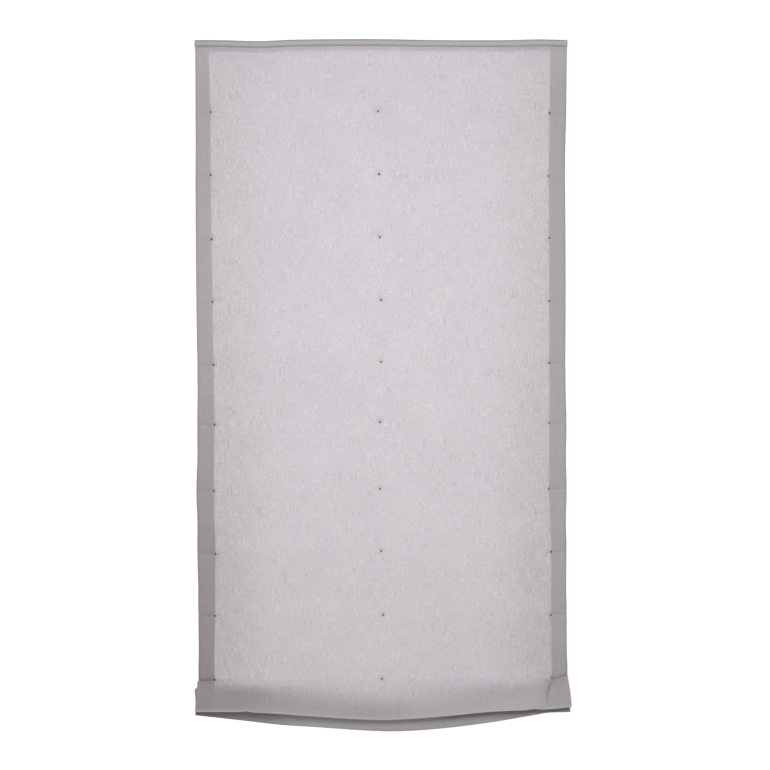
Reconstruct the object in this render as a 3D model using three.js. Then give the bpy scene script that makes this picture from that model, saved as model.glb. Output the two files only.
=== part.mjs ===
// A relaxed roman shade, let down to its full length and hanging from its heading.
// Millimetres, +Z up, the room side faces -Y, the window side faces +Y and +X is to the right.
// The origin is the middle of the heading's top edge, on the flat face that goes against a board.
// A drop is a distance below the origin, so z is minus the drop.
import * as THREE from 'three';

// Driving dimensions.
const PLY = 1.2; // one layer of the linen
const HEM_PLY = 2.4; // the linen turned back on itself, down both sides and along the bottom
const HEM_STEP = 1.5; // how far in from a side hem's inner edge the cloth is single again
const HEM_DEPTH = 64.5; // the bottom hem, from its turn down to the lowest edge
const BINDING_WALL = 1.2;
const BINDING_FRONT = 17; // height of the binding's front leg
const BINDING_BACK = 27; // and of its back leg, which lies against the board
const BINDING_OVERHANG = 1.5; // the binding is this much wider than the cloth, each side
const GAP = 0.3; // between two pieces that touch
const TOP_ROOM = 1; // from the binding's turn down to the cloth's cut top edge
const CREASE_RADIUS = 3; // the pressed front edge of the bottom fold
const TURN_RADIUS = 4; // the soft turn behind the last row of tacks
const TUCK = 1.5; // how far a row of tacks draws the cloth back
const RING_RADIUS = 5.6; // to the middle of the ring's wire
const RING_WIRE = 0.9; // radius
const RING_RISE = 4.6; // a ring is sewn on by its lower rim, so it sits above its tack

// The middle of the single cloth lies this far in front of the heading's back face.
const CLOTH_Y = -(BINDING_WALL + GAP + HEM_PLY - PLY / 2);

// The rows of tacks, six inches apart, as uneven as they hang: the drop at the left, middle and
// right tack, then the X of the left edge, left hem, middle tack, right hem and right edge, and
// how far the cloth above the row bellies forward.
const TOP = { left: 0, mid: 0, right: 0, lines: [-445.4, -414, -7, 407.8, 447], belly: 0 };
const ROWS = [
  { left: 175.3, mid: 172.9, right: 177.7, lines: [-445, -409.3, -6.7, 406, 445.4], belly: 1 },
  { left: 326.7, mid: 324.3, right: 329.1, lines: [-445.1, -409.3, -4.3, 403.5, 442.3], belly: 1 },
  { left: 480.5, mid: 475.7, right: 478.1, lines: [-444.2, -406.9, -1.9, 405, 443.6], belly: 1.5 },
  { left: 631.9, mid: 627.1, right: 629.5, lines: [-442.9, -404.5, 0.5, 405, 443.9], belly: 1.5 },
  { left: 783.3, mid: 776.1, right: 778.5, lines: [-440.4, -402.1, 0.5, 405, 443], belly: 2 },
  { left: 927.5, mid: 920.3, right: 922.7, lines: [-440.6, -399.7, -1.9, 405, 445.8], belly: 2.5 },
  { left: 1086.2, mid: 1081.4, right: 1081.4, lines: [-442.9, -401.3, -1.9, 404, 446.2], belly: 3 },
  { left: 1237.6, mid: 1230.4, right: 1232.8, lines: [-440.4, -397.3, 0.5, 410, 445.8], belly: 4 },
  { left: 1386.6, mid: 1384.2, right: 1384.2, lines: [-437.9, -398.5, 5.3, 409, 446.2], belly: 4 },
  { left: 1540.4, mid: 1538, right: 1534, lines: [-437.9, -399.7, 2.9, 411, 448.4], belly: 4 },
];
const CREASE_LINES = [-435.7, -396, 3, 410, 447];
const TURN_LINES = [-446.3, -404, 3, 412, 452.8];
const HEM_LINES = [-446.3, -404, 3, 414, 456.5];

// The bottom fold across the width: how far its front edge stands out, and the drops of that edge
// and of the hem behind it, which sags in the middle.
const FOLD = [
  { x: -445, reach: 54, crease: 1600.7, hem: 1627 },
  { x: -320, reach: 61, crease: 1599, hem: 1641 },
  { x: -240, reach: 59, crease: 1603.5, hem: 1650 },
  { x: -170, reach: 56, crease: 1609.5, hem: 1654.5 },
  { x: 10, reach: 46, crease: 1622.8, hem: 1665.5 },
  { x: 120, reach: 53, crease: 1614, hem: 1661.2 },
  { x: 255, reach: 60, crease: 1599, hem: 1645.6 },
  { x: 364, reach: 59, crease: 1594.5, hem: 1627.6 },
  { x: 400, reach: 59, crease: 1592.5, hem: 1621.2 },
  { x: 450, reach: 62, crease: 1586.3, hem: 1619 },
];
const TURN_CLEARANCE = 10; // the turn stays at least this far below the last row

// The soft top edge dips a little between the places where it is held.
const DIPS = [
  { x: -450, drop: 2.4 },
  { x: -385, drop: 2.6 },
  { x: -290, drop: 5 },
  { x: -215, drop: 1.7 },
  { x: -60, drop: 0 },
  { x: 20, drop: 0.5 },
  { x: 130, drop: 2.5 },
  { x: 300, drop: 2.6 },
  { x: 380, drop: 0.7 },
  { x: 450, drop: 2.4 },
];

// A smooth line through one column of a table, at x.
function across(table, column, x) {
  const after = table.findIndex((row) => row.x > x);
  const i = (after < 0 ? table.length : Math.max(1, after)) - 1;
  const from = table[Math.min(i, table.length - 2)];
  const to = table[table.indexOf(from) + 1];
  const steepness = (row) => {
    const k = table.indexOf(row);
    const [a, b] = [table[Math.max(0, k - 1)], table[Math.min(table.length - 1, k + 1)]];
    return (b[column] - a[column]) / (b.x - a.x);
  };
  const span = to.x - from.x;
  const t = THREE.MathUtils.clamp((x - from.x) / span, 0, 1);
  const rise = to[column] - from[column];
  const bend = t * (1 - t) ** 2 * (steepness(from) * span - rise);
  const settle = t * t * (1 - t) * (steepness(to) * span - rise);
  return from[column] + rise * t + bend - settle;
}

// The columns of the cloth's grid. A column lies between two of the five lines, and the cloth
// there is double where it belongs to a side hem.
const COLUMNS = [];
const INNER_STEPS = 6;
for (const share of [0, 0.5, 1]) COLUMNS.push({ line: 0, share, inset: 0, double: true });
COLUMNS.push({ line: 1, share: 0, inset: HEM_STEP, double: false });
for (const line of [1, 2])
  for (let i = 1; i <= INNER_STEPS; i++)
    if (line === 1 || i < INNER_STEPS)
      COLUMNS.push({ line, share: i / INNER_STEPS, inset: 0, double: false });
COLUMNS.push({ line: 3, share: 0, inset: -HEM_STEP, double: false });
for (const share of [0, 0.5, 1]) COLUMNS.push({ line: 3, share, inset: 0, double: true });

function columnX(column, lines) {
  const { line, share, inset } = column;
  return THREE.MathUtils.lerp(lines[line], lines[line + 1], share) + inset;
}

// The drop of a row at a column: level across each side hem, and straight from tack to tack.
function rowDrop(row, column) {
  if (column.line === 0) return row.left;
  if (column.line === 1) return THREE.MathUtils.lerp(row.left, row.mid, column.share);
  if (column.line === 2) return THREE.MathUtils.lerp(row.mid, row.right, column.share);
  return row.right;
}

// How much of a tuck shows at a column: all of it in the hems and at the middle tack.
function tuckAt(column) {
  if (column.line === 0 || column.line === 3) return TUCK;
  return TUCK * (0.35 + 0.65 * Math.cos(Math.PI * column.share) ** 2);
}

const mix = (a, b, share) => a.map((value, i) => THREE.MathUtils.lerp(value, b[i], share));

// The hanging cloth at one column: a shallow crease at each row and a soft belly between rows.
const PHASES = [0.07, 0.2, 0.5, 0.8, 0.93, 1];
function hangingPoints(column) {
  const points = [];
  const topX = columnX(column, TOP.lines);
  const topDrop = across(DIPS, 'drop', topX) + BINDING_WALL + TOP_ROOM;
  const free = across(DIPS, 'drop', topX) + BINDING_FRONT;
  points.push([topX, CLOTH_Y, topDrop], [topX, CLOTH_Y, free]);
  let above = TOP;
  for (const row of ROWS) {
    const start = above === TOP ? free : rowDrop(above, column);
    for (const phase of PHASES) {
      const drop = THREE.MathUtils.lerp(start, rowDrop(row, column), phase);
      const x = columnX(column, mix(above.lines, row.lines, phase));
      const back = above === TOP ? tuckAt(column) * phase : tuckAt(column);
      const belly = (tuckAt(column) + row.belly) * Math.max(0, Math.sin(Math.PI * phase)) ** 0.7;
      points.push([x, CLOTH_Y + back - belly, drop]);
    }
    above = row;
  }
  return points;
}

// The bottom fold at one column: down and forward to the pressed edge, back up behind to the turn
// and down again as the hem.
const FALL_STEPS = 6;
const ARC_STEPS = 5;
const RETURN_STEPS = 4;
const HEM_STEPS = 4;
const FALL_OUT_HEM = THREE.MathUtils.degToRad(52); // the fall's slope at the last row, from plumb
const FALL_OUT_BETWEEN = THREE.MathUtils.degToRad(14);
const FALL_IN = THREE.MathUtils.degToRad(22); // and where it meets the front edge
const RETURN_OUT = THREE.MathUtils.degToRad(58); // the return's slope as it leaves that edge
const RETURN_IN = THREE.MathUtils.degToRad(18); // and at the turn
function foldPoints(column, lastPoint) {
  const x = columnX(column, CREASE_LINES);
  const turnX = columnX(column, TURN_LINES);
  const hemX = columnX(column, HEM_LINES);
  const crease = across(FOLD, 'crease', x);
  const hem = across(FOLD, 'hem', hemX);
  const turn = Math.max(hem - HEM_DEPTH, lastPoint[2] + TURN_CLEARANCE);
  const creaseMid = [-across(FOLD, 'reach', x) + CREASE_RADIUS, crease - CREASE_RADIUS];
  const turnMid = [CLOTH_Y + TURN_RADIUS / 2, turn + TURN_RADIUS];
  const creaseAt = (angle) => [
    creaseMid[0] - CREASE_RADIUS * Math.cos(angle),
    creaseMid[1] + CREASE_RADIUS * Math.sin(angle),
  ];
  const turnAt = (angle) => [
    turnMid[0] - TURN_RADIUS * Math.cos(angle),
    turnMid[1] - TURN_RADIUS * Math.sin(angle),
  ];
  const points = [];
  const sweep = (from, fromSlope, to, toSlope, steps, fromX, toX) => {
    const [a, b] = [new THREE.Vector2(...from), new THREE.Vector2(...to)];
    const reach = a.distanceTo(b) / 2.6;
    const curve = new THREE.CubicBezierCurve(
      a,
      fromSlope.clone().multiplyScalar(reach).add(a),
      toSlope.clone().multiplyScalar(-reach).add(b),
      b,
    );
    for (let i = 1; i < steps; i++) {
      const { x: y, y: drop } = curve.getPoint(i / steps);
      points.push([THREE.MathUtils.lerp(fromX, toX, i / steps), y, drop]);
    }
  };
  const slope = (angle, forward, down) =>
    new THREE.Vector2(forward * Math.sin(angle), down * Math.cos(angle));
  const atHem = column.double || column.inset !== 0;
  const fallOut = atHem ? FALL_OUT_HEM : FALL_OUT_BETWEEN;
  const creaseFrom = -FALL_IN;
  const creaseTo = Math.PI - RETURN_OUT;
  sweep(
    [lastPoint[1], lastPoint[2]], slope(fallOut, -1, 1),
    creaseAt(creaseFrom), slope(FALL_IN, -1, 1),
    FALL_STEPS, lastPoint[0], x,
  );
  for (let i = 0; i <= ARC_STEPS; i++)
    points.push([x, ...creaseAt(THREE.MathUtils.lerp(creaseFrom, creaseTo, i / ARC_STEPS))]);
  sweep(
    creaseAt(creaseTo), slope(RETURN_OUT, 1, -1),
    turnAt(RETURN_IN), slope(RETURN_IN, 1, -1),
    RETURN_STEPS, x, turnX,
  );
  for (let i = 0; i <= ARC_STEPS; i++)
    points.push([turnX, ...turnAt(THREE.MathUtils.lerp(RETURN_IN, Math.PI, i / ARC_STEPS))]);
  const turnEnd = turnAt(Math.PI);
  for (let i = 1; i <= HEM_STEPS; i++) {
    const share = i / HEM_STEPS;
    points.push([
      THREE.MathUtils.lerp(turnX, hemX, share),
      turnEnd[0],
      THREE.MathUtils.lerp(turnEnd[1], hem, share),
    ]);
  }
  return points;
}

// The cloth as a closed sheet: a grid of middle points, moved half a ply to the right side and the
// rest of the thickness to the wrong side, with its edges closed.
function clothGeometry() {
  const hanging = COLUMNS.map(hangingPoints);
  const sections = COLUMNS.map((column, c) => {
    const fold = foldPoints(column, hanging[c].at(-1));
    return [...hanging[c], ...fold].map(([x, y, drop]) => new THREE.Vector3(x, y, -drop));
  });
  const down = sections[0].length;
  const wide = COLUMNS.length;
  const firstHemRow = down - HEM_STEPS - 3; // the bottom hem starts on the back of the turn
  const positions = [];
  const place = (r, c, offset) => {
    const at = (row, column) =>
      sections[THREE.MathUtils.clamp(column, 0, wide - 1)][THREE.MathUtils.clamp(row, 0, down - 1)];
    const along = at(r + 1, c).clone().sub(at(r - 1, c));
    const aside = at(r, c + 1).clone().sub(at(r, c - 1));
    const normal = along.cross(aside).normalize();
    positions.push(...at(r, c).clone().addScaledVector(normal, offset).toArray());
  };
  for (let r = 0; r < down; r++) for (let c = 0; c < wide; c++) place(r, c, PLY / 2);
  for (let r = 0; r < down; r++)
    for (let c = 0; c < wide; c++) {
      const thick = COLUMNS[c].double || r >= firstHemRow ? HEM_PLY : PLY;
      place(r, c, PLY / 2 - thick);
    }
  const front = (r, c) => r * wide + c;
  const back = (r, c) => (down + r) * wide + c;
  const indices = [];
  const quad = (a, b, c, d) => indices.push(a, b, c, a, c, d);
  for (let r = 0; r < down - 1; r++)
    for (let c = 0; c < wide - 1; c++) {
      quad(front(r, c), front(r + 1, c), front(r + 1, c + 1), front(r, c + 1));
      quad(back(r, c), back(r, c + 1), back(r + 1, c + 1), back(r + 1, c));
    }
  const lastColumn = wide - 1;
  for (let r = 0; r < down - 1; r++) {
    quad(front(r, 0), back(r, 0), back(r + 1, 0), front(r + 1, 0));
    quad(front(r, lastColumn), front(r + 1, lastColumn), back(r + 1, lastColumn), back(r, lastColumn));
  }
  const lastRow = down - 1;
  for (let c = 0; c < wide - 1; c++) {
    quad(front(0, c), front(0, c + 1), back(0, c + 1), back(0, c));
    quad(front(lastRow, c), back(lastRow, c), back(lastRow, c + 1), front(lastRow, c + 1));
  }
  const geometry = new THREE.BufferGeometry();
  geometry.setAttribute('position', new THREE.Float32BufferAttribute(positions, 3));
  geometry.setIndex(indices);
  return geometry;
}

// The binding folded over the cloth's top edge, open below, with a flat back.
const BINDING_SEGMENTS = 18;
function bindingGeometry() {
  const depth = -CLOTH_Y + PLY / 2 + GAP + BINDING_WALL;
  const shape = new THREE.Shape();
  shape.moveTo(0, 0);
  shape.lineTo(depth, 0);
  shape.lineTo(depth, BINDING_FRONT);
  shape.lineTo(depth - BINDING_WALL, BINDING_FRONT);
  shape.lineTo(depth - BINDING_WALL, BINDING_WALL);
  shape.lineTo(BINDING_WALL, BINDING_WALL);
  shape.lineTo(BINDING_WALL, BINDING_BACK);
  shape.lineTo(0, BINDING_BACK);
  const left = TOP.lines[0] - BINDING_OVERHANG;
  const width = TOP.lines[4] + BINDING_OVERHANG - left;
  const settings = { depth: width, steps: BINDING_SEGMENTS, bevelEnabled: false };
  const geometry = new THREE.ExtrudeGeometry(shape, settings);
  geometry.rotateY(Math.PI / 2).rotateX(-Math.PI / 2).translate(left, 0, 0);
  const place = geometry.attributes.position;
  for (let i = 0; i < place.count; i++)
    place.setZ(i, place.getZ(i) - across(DIPS, 'drop', place.getX(i)));
  return geometry;
}

// A ring lies flat against the cloth's back, sewn on by its lower rim.
const RING_SEGMENTS = 12;
const WIRE_SIDES = 5;
function ringGeometry() {
  const profile = [];
  for (let i = 0; i <= WIRE_SIDES; i++) {
    const angle = (2 * Math.PI * i) / WIRE_SIDES;
    profile.push(
      new THREE.Vector2(RING_RADIUS + RING_WIRE * Math.cos(angle), RING_WIRE * Math.sin(angle)),
    );
  }
  return new THREE.LatheGeometry(profile, RING_SEGMENTS);
}

const linen = new THREE.MeshStandardMaterial({ color: 0xcfc9cf, roughness: 0.9, metalness: 0 });
const binding = new THREE.MeshStandardMaterial({ color: 0xb0abb1, roughness: 0.9, metalness: 0 });
const plastic = new THREE.MeshStandardMaterial({ color: 0xe9e6e2, roughness: 0.4, metalness: 0 });

const shade = new THREE.Group();
function add(name, geometry, material, x = 0, y = 0, z = 0) {
  const mesh = new THREE.Mesh(geometry, material);
  mesh.name = name;
  mesh.position.set(x, y, z);
  shade.add(mesh);
}

add('shade_cloth', clothGeometry(), linen);
add('heading_binding', bindingGeometry(), binding);
const SIDES = [
  { side: 'left', line: 1, thick: HEM_PLY },
  { side: 'mid', line: 2, thick: PLY },
  { side: 'right', line: 3, thick: HEM_PLY },
];
ROWS.forEach((row, i) => {
  for (const { side, line, thick } of SIDES) {
    const clothBack = CLOTH_Y + TUCK + thick - PLY / 2;
    const y = clothBack + GAP + RING_WIRE;
    add(`ring_${side}_${i + 1}`, ringGeometry(), plastic, row.lines[line], y, RING_RISE - row[side]);
  }
});

export default shade;
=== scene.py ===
"""The looks of a relaxed roman shade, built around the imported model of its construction.

The tables are in millimetres, because a maker measures them so, and the meshes are in metres. A
drop is a distance below the heading's top edge. The room side of the shade faces -Y.
"""

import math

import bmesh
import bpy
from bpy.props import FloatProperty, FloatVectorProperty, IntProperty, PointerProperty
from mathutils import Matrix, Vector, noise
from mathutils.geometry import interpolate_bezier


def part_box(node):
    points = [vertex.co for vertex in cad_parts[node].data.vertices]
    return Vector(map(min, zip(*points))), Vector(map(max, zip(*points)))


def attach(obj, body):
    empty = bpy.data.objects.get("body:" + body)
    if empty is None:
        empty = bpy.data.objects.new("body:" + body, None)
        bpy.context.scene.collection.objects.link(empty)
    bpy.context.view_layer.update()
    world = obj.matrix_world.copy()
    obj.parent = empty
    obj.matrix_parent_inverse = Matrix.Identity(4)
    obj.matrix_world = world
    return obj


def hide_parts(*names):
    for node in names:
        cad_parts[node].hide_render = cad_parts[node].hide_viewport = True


bl_info = {
    "name": "Relaxed Roman Shade",
    "version": (1, 0, 0),
    "blender": (4, 5, 0),
    "location": "3D View > Sidebar > Roman Shade",
    "description": "Linen, heading, rings and sewing of a relaxed roman shade at full length",
    "category": "Object",
}

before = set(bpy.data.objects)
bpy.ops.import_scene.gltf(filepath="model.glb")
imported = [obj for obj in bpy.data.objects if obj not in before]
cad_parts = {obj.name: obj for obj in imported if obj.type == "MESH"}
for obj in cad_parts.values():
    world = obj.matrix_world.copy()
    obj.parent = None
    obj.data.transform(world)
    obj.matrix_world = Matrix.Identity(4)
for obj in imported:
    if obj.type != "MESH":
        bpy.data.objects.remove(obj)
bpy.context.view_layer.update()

MM = 0.001


def linear(code):
    """An sRGB hex colour as linear red, green and blue."""
    channels = [int(code[i:i + 2], 16) / 255 for i in (1, 3, 5)]
    return tuple(c / 12.92 if c <= 0.04045 else ((c + 0.055) / 1.055) ** 2.4 for c in channels)


def lerp(a, b, share):
    return a + (b - a) * share


def smooth(low, high, value):
    """Rises smoothly from 0 at low to 1 at high."""
    t = min(1.0, max(0.0, (value - low) / (high - low)))
    return t * t * (3 - 2 * t)


def hump(distance, width):
    """1 at a distance of 0, falling to nothing a few widths away."""
    return math.exp(-((distance / width) ** 2))


def rows_of(columns, *rows):
    """A table's rows, each with its values by column."""
    return [dict(zip(columns.split(), row)) for row in rows]


# The cloth's plane, and what the rows of tacks do to it.
CLOTH_Y = -3.3  # the cloth's right side, in front of the heading's flat back
TUCK = 1.5  # how far a row of tacks draws the cloth back
RING_RISE = 4.6  # a ring's middle sits this far above its tack
SIDES = ("left", "mid", "right")

# The side edges at the heading and at each row of tacks. The cloth above a row bellies forward,
# and the lower it hangs, the more that draws its edges in.
EDGES = rows_of(
    "left right belly draw",
    (-445.4, 447.0, 0.0, 0.0),
    (-445.0, 445.4, 1.0, 0.5),
    (-445.1, 442.3, 1.0, 1.0),
    (-444.2, 443.6, 1.5, 0.3),
    (-442.9, 443.9, 1.5, 0.3),
    (-440.4, 443.0, 2.0, 0.3),
    (-440.6, 445.8, 2.5, 1.0),
    (-442.9, 446.2, 3.0, 2.0),
    (-440.4, 445.8, 4.0, 2.2),
    (-437.9, 446.2, 4.0, 1.6),
    (-437.9, 448.4, 4.0, 1.6),
)
HEADING_TACKS = (-414.0, -7.0, 407.8)  # where the three lines of tacks start, under the heading
# The last row's crease dips beside the right hem, then runs up across it.
LAST_ROW_DIP, LAST_ROW_RISE = 4, 11
FIRST_RIDGED_ROW = 5  # below it each hem also has a small ridge half way between two rows
STEP_OUT = (-2.6, 0.0, 0.0, 0.0, 0.6)  # how far the lines jump outwards below the last row
CREASE_LINES = (-435.7, -396.0, 3.0, 410.0, 447.0)
TURN_LINES = (-446.3, -404.0, 3.0, 412.0, 452.8)
HEM_LINES = (-446.3, -404.0, 3.0, 414.0, 456.5)

# The bottom fold: how far its front edge stands out, the drops of that edge and of the hem, and
# how much shade is painted on its front.
FOLD = rows_of(
    "x reach crease hem grey",
    (-445, 54, 1600.7, 1627, 0.66),
    (-320, 61, 1599, 1641, 0.7),
    (-240, 59, 1603.5, 1650, 0.5),
    (-170, 56, 1609.5, 1654.5, 0.42),
    (10, 46, 1622.8, 1665.5, 0.4),
    (120, 53, 1614, 1661.2, 0.15),
    (255, 60, 1599, 1645.6, 0.05),
    (364, 59, 1594.5, 1627.6, 0.05),
    (400, 59, 1592.5, 1621.2, 0.25),
    (450, 62, 1586.3, 1619, 0.3),
)
HEM_DEPTH = 64.5
TURN_CLEARANCE = 10
CREASE_RADIUS = 2.4
TURN_RADIUS = 4.0
FALL_SLOPE_IN_HEM = math.radians(52)  # from plumb, at the last row
FALL_SLOPE_BETWEEN = math.radians(14)
EDGE_SLOPE = math.radians(22)  # from plumb, just above the fold's front edge
RETURN_SLOPES = (math.radians(58), math.radians(18))  # from plumb, at the edge and at the turn

# Small tugs in the fold's front edge, where a thread pulls it up.
TUGS = rows_of(
    "x lift width",
    (-319, 2.4, 8),
    (359, 3.0, 9),
    (60, 0.8, 30),
)

# The heading's top edge dips between the places where it is held.
DIPS = rows_of(
    "x drop",
    (-450, 2.4),
    (-385, 2.6),
    (-290, 5.0),
    (-215, 1.7),
    (-60, 0.0),
    (20, 0.5),
    (130, 2.5),
    (300, 2.6),
    (380, 0.7),
    (450, 2.4),
)
BINDING_FRONT = 17
BINDING_BACK = 27
BINDING_DEPTH = 5.4
BINDING_ENDS = (-447.2, 448.2)
TAPE_THICKNESS = 0.7
TAPE_SHEERNESS = 0.85  # before its two layers are allowed for
# Steps of the mesh along the heading, and round it: up the front leg, over the roll, down the back.
HEADING_STEPS, FRONT_STEPS, ROLL_STEPS, BACK_STEPS = 110, 10, 8, 5
SEAM_LINE, ROLL_LINE = 1.8, 11.5  # the steps round the heading where its two lines of painted shade are
DOUBLED_STEPS = 16  # the steps round the heading, from the front, that look doubled

# The sewing: a tack's three threads, their loops round the ring, and the fine stitches.
TACK_LENGTH, TACK_THREAD, TACK_SPREAD = 6.8, 1.4, 0.8
LOOP_RADIUS, LOOP_THREAD = 1.35, 0.35
HEM_STITCH = {"pitch": 8, "length": 3.4, "thread": 0.7, "slant": 1.2}
SEAM_STITCH = {"pitch": 4.2, "length": 3.0, "thread": 0.6, "inset": 2.2}

HEM_REACH = 14  # how far in from a side hem its stiffness still shapes the cloth
TACK_REACH = 60  # how far from a tack its pull on the cloth ends
TACK_PULL, CORNER_PULL = 0.22, 1.2  # depth of the rays round a tack, and round the last right one
RIDGE_HEIGHT, RIDGE_WIDTH = 0.8, 2.2  # of the hem's small ridge between two low rows
LEAST_STEP = 0.2  # the least length that a step along the cut cloth counts as
LAYERS_AND_PAINTED_LIGHT = ("hemmed", "painted_shade", "painted_highlight")  # each point's hem layers, painted shade and painted highlight, for its material

# Faint creases across the middle of the cloth, left from when it lay folded.
TRACES = rows_of(
    "drop from to depth",
    (444, 170, 312, 0.5),
    (627, -400, -250, 0.7),
    (1156, 240, 300, 0.8),
    (1010, -300, -120, 0.4),
    (1310, -60, 140, 0.45),
)


def across(table, column, x):
    """A smooth line through one column of a table, at x."""
    k = max(0, min(len(table) - 2, sum(row["x"] <= x for row in table) - 1))
    start, end = table[k], table[k + 1]

    def steepness(i):
        a, b = table[max(0, i - 1)], table[min(len(table) - 1, i + 1)]
        return (b[column] - a[column]) / (b["x"] - a["x"])

    span = end["x"] - start["x"]
    t = min(1.0, max(0.0, (x - start["x"]) / span))
    rise = end[column] - start[column]
    bend = t * (1 - t) ** 2 * (steepness(k) * span - rise)
    settle = t * t * (1 - t) * (steepness(k + 1) * span - rise)
    return start[column] + rise * t + bend - settle


def tack_at(side, row):
    """A tack's x and drop in millimetres, worked out from where the frame holds its ring."""
    low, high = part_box(f"ring_{side}_{row}")
    middle = (low + high) / 2 / MM
    return middle.x, RING_RISE - middle.z


def row_table():
    """The heading's row and each row of tacks: the X of its five lines and its three drops."""
    rows = [{"lines": (EDGES[0]["left"], *HEADING_TACKS, EDGES[0]["right"]), "drops": (0, 0, 0)}]
    for number, edge in enumerate(EDGES[1:], start=1):
        tacks = [tack_at(side, number) for side in SIDES]
        lines = (edge["left"], *(x for x, _ in tacks), edge["right"])
        rows.append({"lines": lines, "drops": tuple(drop for _, drop in tacks)})
    return rows


ROWS = row_table()
LAST = len(ROWS) - 1


class Column:
    """One line down the cloth, a share of the way between two of its five lines."""

    def __init__(self, line, share):
        self.line = line
        self.share = share
        self.hem = line in (0, 3)

    def x(self, lines):
        return lerp(lines[self.line], lines[self.line + 1], self.share)

    def drop(self, row):
        left, mid, right = ROWS[row]["drops"]
        level = (left, lerp(left, mid, self.share), lerp(mid, right, self.share), right)[self.line]
        if row == LAST and self.line == 2:
            level += LAST_ROW_DIP * smooth(0.9, 1, self.share)
        elif row == LAST and self.line == 3:
            level += LAST_ROW_DIP - LAST_ROW_RISE * self.share
        return level

    def tuck(self):
        return TUCK if self.hem else TUCK * (0.35 + 0.65 * math.cos(math.pi * self.share) ** 2)

    def outer(self):
        """0 at a hem's inner edge and further in, rising to 1 at the cloth's edge."""
        return {0: 1 - self.share, 3: self.share}.get(self.line, 0.0)

    def near_hem(self):
        """1 in a side hem, falling to nothing a little way in from it."""
        return hump(self.inset(), HEM_REACH)

    def inset(self):
        """How far the column lies from the nearer side hem, in millimetres."""
        if self.hem:
            return 0.0
        share = self.share if self.line == 1 else 1 - self.share
        return share * (HEADING_TACKS[1] - HEADING_TACKS[0])


def crowded(steps, crowding, spans=1):
    """Shares from 0 to 1, closer together near the ends of each span."""
    turn = 2 * math.pi * spans
    return [i / steps - crowding * math.sin(turn * i / steps) / turn for i in range(steps + 1)]


def main_columns(hem_steps, inner_steps):
    """The columns from edge to edge, with one right beside each side hem, where its shade ends."""
    beside = 0.4 / (HEADING_TACKS[1] - HEADING_TACKS[0])
    shares = crowded(inner_steps, 0.7)
    columns = [Column(0, i / hem_steps) for i in range(hem_steps + 1)]
    columns += [Column(1, share) for share in (beside, *shares[1:])]
    columns += [Column(2, share) for share in (*shares[1:-1], 1 - beside)]
    columns += [Column(3, i / hem_steps) for i in range(hem_steps + 1)]
    return columns


def hanging_section(column, row_steps):
    """The cloth from the heading to the last row: points, with the nearest row and distance."""
    section = []
    top_x = column.x(ROWS[0]["lines"])
    dip = across(DIPS, "drop", top_x)
    for share in (0.15, 0.55):
        section.append(((top_x, CLOTH_Y, dip + BINDING_FRONT * share), 0, 0.0))
    for above in range(LAST):
        start = dip + BINDING_FRONT if above == 0 else column.drop(above)
        end = column.drop(above + 1)
        shares = crowded(row_steps, 0.75, spans=2)
        for share in shares if above == 0 else shares[1:]:
            a, b = ROWS[above]["lines"], ROWS[above + 1]["lines"]
            swell = max(0.0, math.sin(math.pi * share))
            x = column.x([lerp(p, q, share) for p, q in zip(a, b)])
            x -= math.copysign(column.outer() * EDGES[above + 1]["draw"] * swell ** 2, x)
            back = column.tuck() * (share if above == 0 else 1)
            reach = column.tuck() + EDGES[above + 1]["belly"]
            belly = reach * swell ** (0.75 + 0.75 * smooth(0, 40, column.inset()))
            length = end - start
            if above >= FIRST_RIDGED_ROW:
                ridge = hump((share - 0.5) * length, RIDGE_WIDTH)
                belly += RIDGE_HEIGHT * column.near_hem() * ridge
            near = (above, share * length) if share < 0.5 else (above + 1, (share - 1) * length)
            section.append(((x, CLOTH_Y + back - belly, lerp(start, end, share)), *near))
    return section


FALL_STEPS, CREASE_STEPS, RETURN_STEPS, TURN_STEPS, HEM_STEPS = 16, 9, 12, 8, 12


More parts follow.
